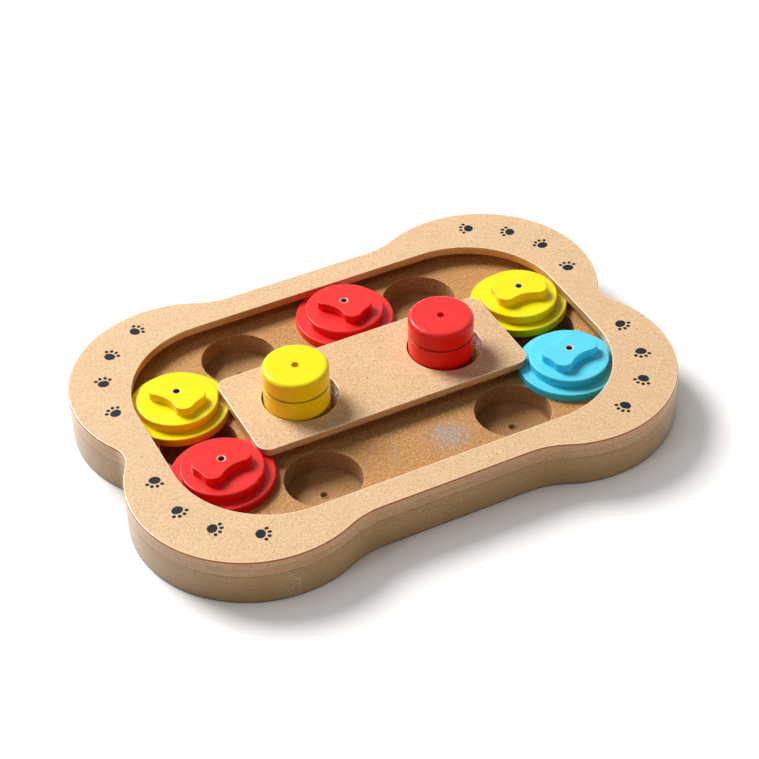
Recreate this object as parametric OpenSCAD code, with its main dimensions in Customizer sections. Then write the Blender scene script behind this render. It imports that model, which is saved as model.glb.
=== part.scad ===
// Bone-shaped dog puzzle feeder.
//
// Three glued layers make the board: a thick base with round treat wells, a spacer that leaves
// a flat track, and a cover whose lip keeps the sliders down. A centre plate on a narrower bar
// closes the inside of the track. Five round sliders with bone-shaped knobs travel round the
// track over the wells, and two pegs stand in wells under the centre plate.
//
// X runs along the board, Y across it, and Z up from the table. The origin is at the middle
// of the underside. All sizes are in millimetres.

/* [Board outline] */
// Length of the board
board_l = 300; // [285:1:330]
// Width of the board across its lobes
board_w = 205; // [196:1:230]
// Radius of each of the four lobes
lobe_r = 63; // [58:0.5:68]
// Width of the rim at the straight waist, from the opening in the cover to the side
waist_rim_w = 15.45; // [12:0.05:19]
// Radius of the hollow curves beside the waist
waist_fillet_r = 45; // [30:1:60]
// Radius of the hollow curve in the middle of each end
end_fillet_r = 14.4; // [8:0.2:22]

/* [Board layers] */
// Thickness of the base
base_t = 18; // [15:0.5:26]
// Thickness of the spacer, which is the height of the track under the lip
spacer_t = 5; // [4.8:0.1:8]
// Thickness of the cover and of the centre plate
cover_t = 4.5; // [3:0.1:8]

/* [Track] */
// Width of the rim at each end, from the end of a lobe to the opening in the cover
end_rim_w = 28.5; // [22:0.5:36]
// Corner radius of the opening in the cover
opening_r = 52.5; // [46:0.5:60]
// Gap between a slider's disc and the edge of the opening
run_gap = 1.5; // [0.5:0.1:3]
// Gap between a slider's flange and the wall of the spacer
flange_gap = 2.1; // [0.5:0.1:4]
// Gap between a slider's disc and an end of the centre plate
plate_end_gap = 0.6; // [0.5:0.1:3]
// Gap between a slider's disc and a long side of the centre plate
plate_side_gap = 2.55; // [0.6:0.05:5]

/* [Centre plate] */
// Corner radius of the centre plate
plate_r = 7; // [5:0.5:12]
// Corner radius of the bar under the centre plate
bar_r = 4; // [2:0.5:8]
// How much further the bar stands back from a flange than the plate does from a disc
bar_relief = 0.8; // [0.4:0.1:3]
// Diameter of the peg holes
peg_hole_d = 40; // [37:0.5:44]
// Wood left in the bar on each side of a peg hole
peg_hole_wall = 4.3; // [2:0.1:8]
// Wood left in the bar between a peg hole and the end of the bar
bar_end_wall = 9; // [4:0.5:16]

/* [Wells] */
// Diameter of the treat wells
well_d = 40; // [30:0.5:46]
// Depth of the treat wells
well_depth = 11.5; // [6:0.5:13]
// How far the wells of the long rows stand in from the middles of the bends
row_well_setback = 15; // [6:0.5:24]
// How far the long rows lie inside the line that the sliders follow
row_well_inset = 1.9; // [0:0.1:4]
// Diameter of the small pit that the drill leaves in the floor of a well
pit_d = 3.6; // [2:0.1:6]
// Depth of that pit
pit_depth = 1.6; // [0.5:0.1:1.9]

/* [Sliders] */
// Diameter of the disc that shows in the track
disc_d = 42.2; // [38:0.1:46]
// Thickness of the disc
disc_t = 5; // [4:0.1:8]
// How far the flange reaches past the disc, under the lips
flange_rim = 5.4; // [3.5:0.1:7]
// Gap between the top of the flange and the underside of the lips
flange_play = 0.5; // [0.2:0.05:1.2]
// Diameter of the hole down through a slider
bore_d = 4; // [2:0.1:6]
// Radius of the eased edges of the discs and flanges
edge_r = 0.8; // [0.3:0.1:1.5]

/* [Knobs] */
// Length of the bone-shaped knob
knob_l = 28.6; // [24:0.1:34]
// Width of the knob across its lobes
knob_w = 19; // [16:0.1:24]
// Width of the knob at its waist
knob_waist_w = 15; // [11:0.1:16]
// Radius of the knob's lobes
knob_lobe_r = 5.2; // [4:0.1:6.5]
// Depth of the shallow hollow in each end of the knob
knob_end_dip = 0.35; // [0.1:0.05:1]
// Thickness of the knob
knob_t = 5; // [3:0.1:9]

/* [Pegs] */
// How much narrower a peg is than its hole
peg_play = 5.6; // [3:0.1:10]
// Height of the pegs
peg_h = 43.3; // [36:0.1:60]
// Radius of the rounded top edge of a peg
peg_edge_r = 1.8; // [0.5:0.1:4]
// Distance from the top of a peg down to the middle of its groove
groove_drop = 10.9; // [6:0.1:16]
// Width of the groove round a peg
groove_w = 1.4; // [0.8:0.1:3]
// Depth of the groove round a peg
groove_depth = 1; // [0.4:0.1:2]
// Diameter of the hole in the top of a peg
peg_bore_d = 3.8; // [2:0.1:6]
// Depth of the hole in the top of a peg
peg_bore_depth = 14; // [4:0.5:25]
// Gap left where a peg stands against one side of its hole
peg_gap = 0.4; // [0.3:0.05:1.5]
// Direction in which the left peg stands off its hole's axis
left_peg_dir = 203; // [0:1:360]
// Direction in which the right peg stands off its hole's axis
right_peg_dir = 187; // [0:1:360]

/* [Places of the sliders] */
// Gap between the flanges of the two sliders at the left end
left_pair_gap = 4.3; // [1:0.1:8]
// How far the middle of the left pair lies from the X axis
left_pair_y = -1.05; // [-6:0.05:6]
// Gap between the flanges of the two sliders at the right end
right_pair_gap = 4.9; // [1:0.1:8]
// How far the middle of the right pair lies from the X axis
right_pair_y = -8.15; // [-12:0.05:12]
// Place of the single slider along the far side of the track
far_slider_x = 9.6; // [-20:0.1:20]
// Turn of the knob on the yellow slider at the left
yellow_left_turn = -64.5; // [-180:0.5:180]
// Turn of the knob on the red slider at the left
red_left_turn = 17.3; // [-180:0.1:180]
// Turn of the knob on the red slider at the far side
red_far_turn = -63.5; // [-180:0.5:180]
// Turn of the knob on the yellow slider at the right
yellow_right_turn = -7; // [-180:0.5:180]
// Turn of the knob on the blue slider at the right
blue_right_turn = 15.8; // [-180:0.1:180]

/* [Hidden] */
$fn = 96;

board_tan = "#e8c295";
track_tan = "#c6935f";
bar_tan = "#d2a878";
paint_yellow = "#f7f442";
paint_red = "#fb5556";
paint_blue = "#6de2f7";

// A cut runs this far past the faces that it opens.
over = 1;
// Round and hollow arcs of an outline cross by this much, which leaves a clean corner
// where they would only touch.
arc_bite = 0.02;

// Levels of the layers
track_z = base_t;
cover_z = base_t + spacer_t;
well_floor_z = base_t - well_depth;

// Sliders: the flange lies on the track and the disc stands on it.
flange_d = disc_d + 2 * flange_rim;
flange_t = spacer_t - flange_play;
disc_z = track_z + flange_t;
knob_z = disc_z + disc_t;

// The bar holds the peg holes, and the plate overhangs it as the track's inner lip.
plate_overhang = flange_rim + bar_relief;
bar_w = peg_hole_d + 2 * peg_hole_wall;
plate_w = bar_w + 2 * plate_overhang;

// The opening in the cover leaves room for a disc beside the plate.
opening_l = board_l - 2 * end_rim_w;
opening_w = plate_w + 2 * (plate_side_gap + disc_d + run_gap);

// Middle of a lobe
lobe_x = board_l / 2 - lobe_r;
lobe_y = board_w / 2 - lobe_r;
// Middle of the hollow curve beside the waist, outside the board
waist_w = opening_w + 2 * waist_rim_w;
waist_fillet_y = waist_w / 2 + waist_fillet_r - arc_bite;
waist_fillet_x = lobe_x
    - sqrt(pow(lobe_r + waist_fillet_r - arc_bite, 2) - pow(waist_fillet_y - lobe_y, 2));
// Middle of the hollow curve in an end, outside the board
end_fillet_x = lobe_x + sqrt(pow(lobe_r + end_fillet_r - arc_bite, 2) - pow(lobe_y, 2));

// The line that the middles of the sliders follow: arcs about these corner middles
corner_x = opening_l / 2 - opening_r;
corner_y = opening_w / 2 - opening_r;
path_r = opening_r - run_gap - disc_d / 2;
path_x = corner_x + path_r;
path_y = corner_y + path_r;

// The spacer's opening leaves room for the flanges, so the cover overhangs it as a lip.
cavity_side = path_r + flange_d / 2 + flange_gap;
lip_w = cavity_side - opening_r;

// The plate ends clear of the discs, and the peg holes lie near the ends of the bar.
plate_l = 2 * (path_x - disc_d / 2 - plate_end_gap);
bar_l = plate_l - 2 * plate_overhang;
peg_pitch = bar_l - 2 * bar_end_wall - peg_hole_d;

row_well_x = corner_x - row_well_setback;
row_well_y = path_y - row_well_inset;

// Pegs stand on the floors of the wells under the plate, which are as wide as the peg holes.
peg_d = peg_hole_d - peg_play;
peg_shift = peg_play / 2 - peg_gap;

// Place on the line at an end of the track, where side is -1 or 1: straight between the
// middles of the bends, and round them beyond
function at_end(side, y) =
    let (past_bend = max(0, abs(y) - corner_y))
        [side * (corner_x + sqrt(pow(path_r, 2) - pow(past_bend, 2))), y];

// Places of the sliders
left_pair_half = (flange_d + left_pair_gap) / 2;
right_pair_half = (flange_d + right_pair_gap) / 2;
yellow_left_at = at_end(-1, left_pair_y + left_pair_half);
red_left_at = at_end(-1, left_pair_y - left_pair_half);
red_far_at = [far_slider_x, path_y];
yellow_right_at = at_end(1, right_pair_y + right_pair_half);
blue_right_at = at_end(1, right_pair_y - right_pair_half);
left_peg_at = [-peg_pitch / 2 + peg_shift * cos(left_peg_dir), peg_shift * sin(left_peg_dir)];
right_peg_at = [peg_pitch / 2 + peg_shift * cos(right_peg_dir), peg_shift * sin(right_peg_dir)];

// Treat wells as [x, y, diameter]: two long rows, one at each end, and one under each peg
wells = concat(
    [for (place = four_ways(row_well_x, row_well_y)) [place.x, place.y, well_d]],
    [for (sx = [-1, 1]) [sx * path_x, 0, well_d]],
    [for (sx = [-1, 1]) [sx * peg_pitch / 2, 0, peg_hole_d]]);

// A place and its mirror images, one in each quarter
function four_ways(x, y) = [for (sx = [-1, 1], sy = [-1, 1]) [sx * x, sy * y]];

// Rounded rectangle, size l by w, corner radius r
module rounded_plan(l, w, r) {
    square([l, w - 2 * r], center = true);
    square([l - 2 * r, w], center = true);
    for (place = four_ways(l / 2 - r, w / 2 - r))
        translate(place)
            circle(r);
}

// Plan with round lobes of radius r, joined by a straight-sided core and cut by hollows,
// each given as [x, y, radius]
module lobed_plan(core, lobes, r, hollows) {
    difference() {
        union() {
            polygon(core);
            for (place = lobes)
                translate(place)
                    circle(r);
        }
        for (hollow = hollows)
            translate([hollow[0], hollow[1]])
                circle(hollow[2]);
    }
}

// Plan of the board: four lobes, a straight waist and hollow curves between them
module bone_plan() {
    // One quarter of the core, from the end to the waist
    quarter = [[lobe_x, lobe_y], [waist_fillet_x, waist_fillet_y], [waist_fillet_x, waist_w / 2]];
    core = concat(
        [[end_fillet_x, 0]], quarter,
        [for (i = [2:-1:0]) [-quarter[i].x, quarter[i].y]],
        [[-end_fillet_x, 0]], -quarter,
        [for (i = [2:-1:0]) [quarter[i].x, -quarter[i].y]]);
    lobed_plan(core, four_ways(lobe_x, lobe_y), lobe_r,
        concat([for (place = four_ways(waist_fillet_x, waist_fillet_y))
                    [place.x, place.y, waist_fillet_r]],
               [for (sx = [-1, 1]) [sx * end_fillet_x, 0, end_fillet_r]]), $fn = 180);
}

module base_board() {
    color(track_tan)
        difference() {
            linear_extrude(base_t)
                bone_plan();
            for (well = wells)
                translate([well.x, well.y, well_floor_z]) {
                    cylinder(h = well_depth + over, d = well.z);
                    translate([0, 0, -pit_depth])
                        cylinder(h = pit_depth + over, d = pit_d);
                }
        }
}

module spacer_frame() {
    color(bar_tan)
        translate([0, 0, track_z])
            difference() {
                linear_extrude(spacer_t)
                    bone_plan();
                translate([0, 0, -over])
                    linear_extrude(spacer_t + 2 * over)
                        rounded_plan(opening_l + 2 * lip_w, opening_w + 2 * lip_w, cavity_side);
            }
}

module cover_frame() {
    color(board_tan)
        translate([0, 0, cover_z])
            difference() {
                linear_extrude(cover_t)
                    bone_plan();
                translate([0, 0, -over])
                    linear_extrude(cover_t + 2 * over)
                        rounded_plan(opening_l, opening_w, opening_r);
            }
}

// Peg holes down through a layer of thickness t
module peg_holes(t) {
    for (sx = [-1, 1])
        translate([sx * peg_pitch / 2, 0, -over])
            cylinder(h = t + 2 * over, d = peg_hole_d);
}

module spacer_bar() {
    color(bar_tan)
        translate([0, 0, track_z])
            difference() {
                linear_extrude(spacer_t)
                    rounded_plan(bar_l, bar_w, bar_r);
                peg_holes(spacer_t);
            }
}

module centre_plate() {
    color(board_tan)
        translate([0, 0, cover_z])
            difference() {
                linear_extrude(cover_t)
                    rounded_plan(plate_l, plate_w, plate_r);
                peg_holes(cover_t);
            }
}

// Half section of a round disc whose top edge is eased by e
module eased_section(r, h, e) {
    square([r, h - e]);
    square([r - e, h]);
    translate([r - e, h - e])
        circle(e, $fn = 32);
}

// Round disc of a slider, with the hole down its middle
module slider_disc(at, z, d, h, colour) {
    color(colour)
        translate([at.x, at.y, z])
            difference() {
                rotate_extrude()
                    eased_section(d / 2, h, edge_r);
                translate([0, 0, -over])
                    cylinder(h = h + 2 * over, d = bore_d, $fn = 48);
            }
}

// Radius of the hollow arc that touches two lobes of radius r, each half away to a side of it,
// and whose lowest point stands rise above the line between the middles of the lobes
function hollow_r(half, rise, r) = (pow(half, 2) + pow(rise, 2) - pow(r, 2)) / (2 * (r - rise));

// Plan of a knob: four lobes with a hollow along each side and a shallow one in each end
module knob_plan() {
    lx = knob_l / 2 - knob_lobe_r;
    ly = knob_w / 2 - knob_lobe_r;
    side_rise = knob_waist_w / 2 - ly;
    side_r = hollow_r(lx, side_rise, knob_lobe_r - arc_bite);
    side_y = ly + side_rise + side_r;
    end_rise = knob_lobe_r - knob_end_dip;
    end_r = hollow_r(ly, end_rise, knob_lobe_r - arc_bite);
    end_x = lx + end_rise + end_r;
    core = [[end_x, 0], [lx, ly], [0, side_y], [-lx, ly],
            [-end_x, 0], [-lx, -ly], [0, -side_y], [lx, -ly]];
    lobed_plan(core, four_ways(lx, ly), knob_lobe_r,
        concat([for (sy = [-1, 1]) [0, sy * side_y, side_r]],
               [for (sx = [-1, 1]) [sx * end_x, 0, end_r]]));
}

module slider_knob(at, turn, colour) {
    color(colour)
        translate([at.x, at.y, knob_z])
            rotate([0, 0, turn])
                difference() {
                    linear_extrude(knob_t)
                        knob_plan();
                    translate([0, 0, -over])
                        cylinder(h = knob_t + 2 * over, d = bore_d, $fn = 48);
                }
}

// Turned peg with a rounded top edge, a groove round it and a hole in its top
module peg(at, colour) {
    color(colour)
        translate([at.x, at.y, well_floor_z])
            difference() {
                rotate_extrude()
                    difference() {
                        eased_section(peg_d / 2, peg_h, peg_edge_r);
                        translate([peg_d / 2 - groove_depth, peg_h - groove_drop - groove_w / 2])
                            square([groove_depth + over, groove_w]);
                    }
                translate([0, 0, peg_h - peg_bore_depth])
                    cylinder(h = peg_bore_depth + over, d = peg_bore_d, $fn = 48);
            }
}

base_board();
spacer_frame();
cover_frame();
spacer_bar();
centre_plate();
slider_disc(yellow_left_at, track_z, flange_d, flange_t, paint_yellow);  // yellow_left_flange
slider_disc(yellow_left_at, disc_z, disc_d, disc_t, paint_yellow);  // yellow_left_disc
slider_knob(yellow_left_at, yellow_left_turn, paint_yellow);  // yellow_left_knob
slider_disc(red_left_at, track_z, flange_d, flange_t, paint_red);  // red_left_flange
slider_disc(red_left_at, disc_z, disc_d, disc_t, paint_red);  // red_left_disc
slider_knob(red_left_at, red_left_turn, paint_red);  // red_left_knob
slider_disc(red_far_at, track_z, flange_d, flange_t, paint_red);  // red_far_flange
slider_disc(red_far_at, disc_z, disc_d, disc_t, paint_red);  // red_far_disc
slider_knob(red_far_at, red_far_turn, paint_red);  // red_far_knob
slider_disc(yellow_right_at, track_z, flange_d, flange_t, paint_yellow);  // yellow_right_flange
slider_disc(yellow_right_at, disc_z, disc_d, disc_t, paint_yellow);  // yellow_right_disc
slider_knob(yellow_right_at, yellow_right_turn, paint_yellow);  // yellow_right_knob
slider_disc(blue_right_at, track_z, flange_d, flange_t, paint_blue);  // blue_right_flange
slider_disc(blue_right_at, disc_z, disc_d, disc_t, paint_blue);  // blue_right_disc
slider_knob(blue_right_at, blue_right_turn, paint_blue);  // blue_right_knob
peg(left_peg_at, paint_yellow);  // yellow_peg
peg(right_peg_at, paint_red);  // red_peg
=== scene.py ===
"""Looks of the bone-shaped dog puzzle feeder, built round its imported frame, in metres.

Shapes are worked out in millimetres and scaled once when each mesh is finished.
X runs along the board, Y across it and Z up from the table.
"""

import logging
import math
from dataclasses import dataclass
from enum import Enum
from typing import NamedTuple

import bmesh
import bpy
from mathutils import Matrix, Vector


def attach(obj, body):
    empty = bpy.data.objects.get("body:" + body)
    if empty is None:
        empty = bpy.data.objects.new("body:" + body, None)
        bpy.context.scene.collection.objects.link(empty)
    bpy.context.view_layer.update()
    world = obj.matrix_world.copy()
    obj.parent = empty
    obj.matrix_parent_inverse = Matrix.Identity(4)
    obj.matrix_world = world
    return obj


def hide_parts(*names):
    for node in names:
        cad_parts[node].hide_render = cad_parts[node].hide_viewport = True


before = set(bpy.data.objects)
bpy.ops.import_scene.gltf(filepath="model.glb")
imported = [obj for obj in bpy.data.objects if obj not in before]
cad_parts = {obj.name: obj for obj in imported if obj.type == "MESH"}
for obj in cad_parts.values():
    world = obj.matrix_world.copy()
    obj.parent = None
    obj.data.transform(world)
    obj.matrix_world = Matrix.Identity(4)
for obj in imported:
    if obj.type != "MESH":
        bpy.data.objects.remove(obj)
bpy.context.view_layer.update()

log = logging.getLogger("puzzle_feeder")

MM = 0.001
Point = tuple[float, float]
Colour = tuple[float, float, float]


def shade(red: int, green: int, blue: int) -> Colour:
    """A colour as a paint chart gives it, 0 to 255, as the linear values that a shader takes."""
    def linear(part: int) -> float:
        """One channel made linear."""
        value = part / 255
        return value / 12.92 if value <= 0.04045 else ((value + 0.055) / 1.055) ** 2.4
    return linear(red), linear(green), linear(blue)


def toned(colour: Colour, level: float) -> Colour:
    """A darker or, above 1, a lighter tone of a colour."""
    red, green, blue = (min(1.0, level * part) for part in colour)
    return red, green, blue


# ---------------------------------------------------------------------------------------------
# Sections: how a wall, a rim or a turned piece runs from one corner to the next


class Stop(NamedTuple):
    """One point of a section.

    out is the radius or the way into the wood, edge is 1 on an eased corner and -1 in a
    hollow one, and bare tells how near a drilled hole's raw wood is.
    """
    out: float
    z: float
    edge: float = 0.0
    bare: float = 0.0


class Corner(NamedTuple):
    """A corner of a section before it is rounded to radius r."""
    out: float
    z: float
    r: float = 0.0
    edge: float = 1.0
    bare: float = 0.0


def eased(corners: list[Corner], steps: int = 4, hold: float = 0.35) -> list[Stop]:
    """Rounds the corners of a section and adds the stops that keep its flats flat.

    Args:
        corners: the section's corners in order; the first and last keep their places.
        steps: how many facets each round gets.
        hold: how far beyond a round its neighbouring flat is held.

    Returns:
        The stops along the rounded section.
    """
    stops: list[Stop] = []
    for i, corner in enumerate(corners):
        here = Vector((corner.out, corner.z))
        if i in (0, len(corners) - 1) or corner.r <= 0:
            stops.append(Stop(corner.out, corner.z, 0.0, corner.bare))
            continue
        before = Vector(corners[i - 1][:2])
        after = Vector(corners[i + 1][:2])
        way_in, way_out = (here - before).normalized(), (after - here).normalized()
        turn = math.atan2(way_in.x * way_out.y - way_in.y * way_out.x, way_in.dot(way_out))
        reach = corner.r * math.tan(abs(turn) / 2)
        side = Vector((-way_in.y, way_in.x)) * math.copysign(1.0, turn)
        start = here - way_in * reach
        middle = start + side * corner.r
        room_in = (here - before).length - reach
        room_out = (after - here).length - reach
        held = start - way_in * min(hold, room_in / 2)
        stops.append(Stop(held.x, held.y, 0.0, corner.bare))
        for k in range(steps + 1):
            arm = Matrix.Rotation(turn * k / steps, 2) @ (start - middle)
            spot = middle + arm
            stops.append(Stop(spot.x, spot.y, corner.edge, corner.bare))
        held = here + way_out * (reach + min(hold, room_out / 2))
        stops.append(Stop(held.x, held.y, 0.0, corner.bare))
    return stops


# ---------------------------------------------------------------------------------------------
# Plans: outlines seen from above, each of which can be drawn smaller or larger by an inset


def arc(middle: Point, r: float, start: float, end: float, steps: int) -> list[Point]:
    """Points along an arc, angles in degrees, both ends included."""
    turns = [math.radians(start + (end - start) * k / steps) for k in range(steps + 1)]
    return [(middle[0] + r * math.cos(a), middle[1] + r * math.sin(a)) for a in turns]


def bearing(start: Point, end: Point) -> float:
    """Direction from one point to another, in degrees."""
    return math.degrees(math.atan2(end[1] - start[1], end[0] - start[0]))


@dataclass(frozen=True)
class LobedPlan:
    """Four round lobes joined by hollow curves, the plan of the board and of the knobs."""
    lobe: Point
    lobe_r: float
    side: Point
    side_r: float
    end_x: float
    end_r: float
    steps: tuple[int, int, int]

    @classmethod
    def board(cls) -> "LobedPlan":
        """The plan of the board: 300 by 205 mm with a straight waist."""
        length, width, lobe_r, waist_w, side_r, end_r = 300, 205, 63, 184.4, 45, 14.4
        lobe = (length / 2 - lobe_r, width / 2 - lobe_r)
        side_y = waist_w / 2 + side_r
        side_x = lobe[0] - math.sqrt((lobe_r + side_r) ** 2 - (side_y - lobe[1]) ** 2)
        end_x = lobe[0] + math.sqrt((lobe_r + end_r) ** 2 - lobe[1] ** 2)
        return cls(lobe, lobe_r, (side_x, side_y), side_r, end_x, end_r, (14, 72, 14))

    @classmethod
    def knob(cls) -> "LobedPlan":
        """The plan of a knob: 28.6 by 19 mm, drawn in to 15 mm at its waist."""
        length, width, lobe_r, waist_w, end_dip = 28.6, 19, 5.2, 15, 0.35
        lobe = (length / 2 - lobe_r, width / 2 - lobe_r)
        rise = waist_w / 2 - lobe[1]
        side_r = (lobe[0] ** 2 + rise ** 2 - lobe_r ** 2) / (2 * (lobe_r - rise))
        tip = lobe_r - end_dip
        end_r = (lobe[1] ** 2 + tip ** 2 - lobe_r ** 2) / (2 * (lobe_r - tip))
        return cls(lobe, lobe_r, (0, lobe[1] + rise + side_r), side_r,
                   lobe[0] + tip + end_r, end_r, (4, 22, 14))

    def outline(self, inset: float) -> list[Point]:
        """The outline, drawn inset millimetres inside the real one, counter-clockwise."""
        from_end = bearing((self.end_x, 0), self.lobe)
        to_side = bearing(self.lobe, self.side)
        quarter = arc((self.end_x, 0), self.end_r + inset, 180, from_end, self.steps[0])
        quarter += arc(self.lobe, self.lobe_r - inset, from_end - 180, to_side,
                       self.steps[1])[1:]
        quarter += arc(self.side, self.side_r + inset, to_side - 180, -90, self.steps[2])[1:]
        joined = self.side[0] == 0
        far = [(-x, y) for x, y in reversed(quarter)][1 if joined else 0:]
        half = quarter + far
        return half + [(-x, -y) for x, y in half[1:-1]]


@dataclass(frozen=True)
class RoundedPlan:
    """Rectangle with rounded corners."""
    length: float
    width: float
    r: float
    steps: int

    def outline(self, inset: float) -> list[Point]:
        """The outline, drawn inset millimetres inside the real one, counter-clockwise."""
        x, y, r = self.length / 2 - self.r, self.width / 2 - self.r, self.r - inset
        return [spot for quarter, middle in enumerate(((x, y), (-x, y), (-x, -y), (x, -y)))
                for spot in arc(middle, r, 90 * quarter, 90 * quarter + 90, self.steps)]


@dataclass(frozen=True)
class RoundPlan:
    """Circle about a place on the board."""
    middle: Point
    r: float
    steps: int = 72

    def outline(self, inset: float) -> list[Point]:
        """The circle, drawn inset millimetres inside the real one, counter-clockwise."""
        return arc(self.middle, self.r - inset, 0, 360, self.steps)[:-1]


Plan = LobedPlan | RoundedPlan | RoundPlan


class Shaper:
    """A mesh in the making: walls lofted along plans, and flat faces filled between them."""

    def __init__(self) -> None:
        """Starts with an empty mesh and the marks that the finishes read."""
        self.bm = bmesh.new()
        self.edge = self.bm.verts.layers.float.new("edge")
        self.bare = self.bm.verts.layers.float.new("bare")
        self.depth = self.bm.verts.layers.float.new("depth")

    def wall(self, plan: Plan, section: list[Stop], slot: int = 0, hole: bool = False,
             move: Matrix | None = None, cap: float = 1e3) -> tuple[list, list]:
        """Lofts a section along a plan.

        Args:
            plan: the outline to follow.
            section: its stops, whose out is the way from the outline into the wood.
            slot: which of the piece's finishes the faces take.
            hole: True where the wood lies outside the outline.
            move: an optional turn and shift in the plane.
            cap: the height above which the faces take the first finish, as the face does.

        Returns:
            The first and the last ring of corners.
        """
        rings = []
        for stop in section:
            ring = []
            for x, y in plan.outline(-stop.out if hole else stop.out):
                place = Vector((x, y, stop.z))
                vert = self.bm.verts.new(move @ place if move else place)
                vert[self.edge], vert[self.bare] = stop.edge, stop.bare
                vert[self.depth] = stop.out
                ring.append(vert)
            rings.append(ring)
        for low, high, stop, follower in zip(rings, rings[1:], section, section[1:]):
            finish = 0 if min(stop.z, follower.z) > cap else slot
            for i in range(len(low)):
                j = (i + 1) % len(low)
                self.bm.faces.new((low[i], low[j], high[j], high[i])).material_index = finish
        return rings[0], rings[-1]

    def fill(self, rings: list[list], slot: int = 0) -> None:
        """Closes the flat face between an outer ring and the holes in it."""
        edges = []
        for ring in rings:
            for i, vert in enumerate(ring):
                follower = ring[(i + 1) % len(ring)]
                edges.append(self.bm.edges.get((vert, follower))
                             or self.bm.edges.new((vert, follower)))
        made = bmesh.ops.triangle_fill(self.bm, use_beauty=True, use_dissolve=False,
                                       edges=edges, normal=Vector((0, 0, 1)))
        for item in made["geom"]:
            if isinstance(item, bmesh.types.BMFace):
                item.material_index = slot

    def piece(self, name: str, finishes: list[bpy.types.Material]) -> bpy.types.Object:
        """Scales the mesh to metres and makes it an object with its finishes."""
        self.bm.transform(Matrix.Scale(MM, 4))
        mesh = bpy.data.meshes.new(name)
        tidy_mesh(self.bm)
        self.bm.to_mesh(mesh)
        self.bm.free()
        for finish in finishes:
            mesh.materials.append(finish)
        return added(name, mesh)


def added(name: str, data: bpy.types.ID) -> bpy.types.Object:
    """Makes an object of some data and adds it to the scene."""
    made = bpy.data.objects.new(name, data)
    bpy.context.scene.collection.objects.link(made)
    return made


def tidy_mesh(bm: bmesh.types.BMesh, smooth: bool = True) -> None:
    """Joins doubles, turns every face outwards and sets the shading."""
    bmesh.ops.remove_doubles(bm, verts=bm.verts, dist=1e-7)
    bmesh.ops.recalc_face_normals(bm, faces=bm.faces)
    for face in bm.faces:
        face.smooth = smooth


def place_piece(piece: bpy.types.Object, body: str, slot: str, *nodes: str) -> None:
    """Makes a piece ride on its body and stand for its CAD nodes."""
    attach(piece, body)
    if nodes:
        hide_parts(*nodes)
    log.info("%s: %d faces, rides on %s", piece.name, len(piece.data.polygons), body)


# ---------------------------------------------------------------------------------------------
# Shader nodes


class Wiring:
    """Short ways to add and join nodes in one tree."""

    def __init__(self, tree: bpy.types.NodeTree) -> None:
        """Works on the given tree."""
        self.tree = tree

    def node(self, kind: str, inputs: dict | None = None, **settings: object) -> bpy.types.Node:
        """Adds a node with its settings, and fills its inputs by name or number.

        Args:
            kind: the node's type.
            inputs: a value or an output to link, for each input.
            settings: the node's own properties.

        Returns:
            The node.
        """
        made = self.tree.nodes.new(kind)
        for key, value in settings.items():
            setattr(made, key, value)
        for key, value in (inputs or {}).items():
            self.feed(made.inputs[key], value)
        return made

    def feed(self, socket: bpy.types.NodeSocket, value: object) -> None:
        """Links an output to a socket, or writes a plain value on it."""
        if isinstance(value, bpy.types.NodeSocket):
            self.tree.links.new(value, socket)
        else:
            socket.default_value = value

    def math(self, operation: str, a: object, b: object = 0.0, c: object = 0.0,
             clamp: bool = False) -> bpy.types.NodeSocket:
        """The result of a Math node."""
        kind = "ShaderNodeMath"
        return self.node(kind, {0: a, 1: b, 2: c}, operation=operation,
                         use_clamp=clamp).outputs[0]

    def ramp(self, value: object, low: float, high: float, to_low: float = 0.0,
             to_high: float = 1.0) -> bpy.types.NodeSocket:
        """A value brought smoothly from the range low to high into another."""
        return self.node("ShaderNodeMapRange", {0: value, 1: low, 2: high, 3: to_low,
                                                4: to_high},
                         interpolation_type="SMOOTHSTEP").outputs[0]

    def mix(self, factor: object, a: object, b: object) -> bpy.types.NodeSocket:
        """One colour laid over another by a mask."""
        def four(value: object) -> object:
            """A plain colour given its alpha."""
            return (*value, 1.0) if isinstance(value, tuple) and len(value) == 3 else value
        return self.node("ShaderNodeMix", {0: factor, 6: four(a), 7: four(b)},
                         data_type="RGBA").outputs[2]

    def noise(self, vector: object, scale: float, detail: float = 3.0,
              roughness: float = 0.55) -> bpy.types.NodeSocket:
        """Plain noise in the range 0 to 1 about 0.5."""
        return self.node("ShaderNodeTexNoise", {"Vector": vector, "Scale": scale,
                                                "Detail": detail,
                                                "Roughness": roughness}).outputs[0]

    def vector(self, operation: str, a: object, b: object) -> bpy.types.NodeSocket:
        """The result of a Vector Math node that gives a vector."""
        return self.node("ShaderNodeVectorMath", {0: a, 1: b}, operation=operation).outputs[0]

    def length(self, vector: object) -> bpy.types.NodeSocket:
        """The length of a vector."""
        return self.node("ShaderNodeVectorMath", {0: vector},
                         operation="LENGTH").outputs["Value"]

    def axis(self, vector: object, name: str) -> bpy.types.NodeSocket:
        """One coordinate of a vector."""
        return self.node("ShaderNodeSeparateXYZ", {0: vector}).outputs[name]

    def stretched(self, vector: object, scale: tuple[float, float, float],
                  turn: float = 0.0) -> bpy.types.NodeSocket:
        """The vector turned about Z, in degrees, and then scaled."""
        turned = self.node("ShaderNodeMapping", {"Vector": vector,
                                                 "Rotation": (0, 0, math.radians(turn))})
        return self.node("ShaderNodeMapping", {"Vector": turned.outputs[0],
                                               "Scale": scale}).outputs[0]


def emptied(owner: bpy.types.ID) -> Wiring:
    """Gives a material or a world an empty tree to wire."""
    owner.use_nodes = True
    owner.node_tree.nodes.clear()
    return Wiring(owner.node_tree)


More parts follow.
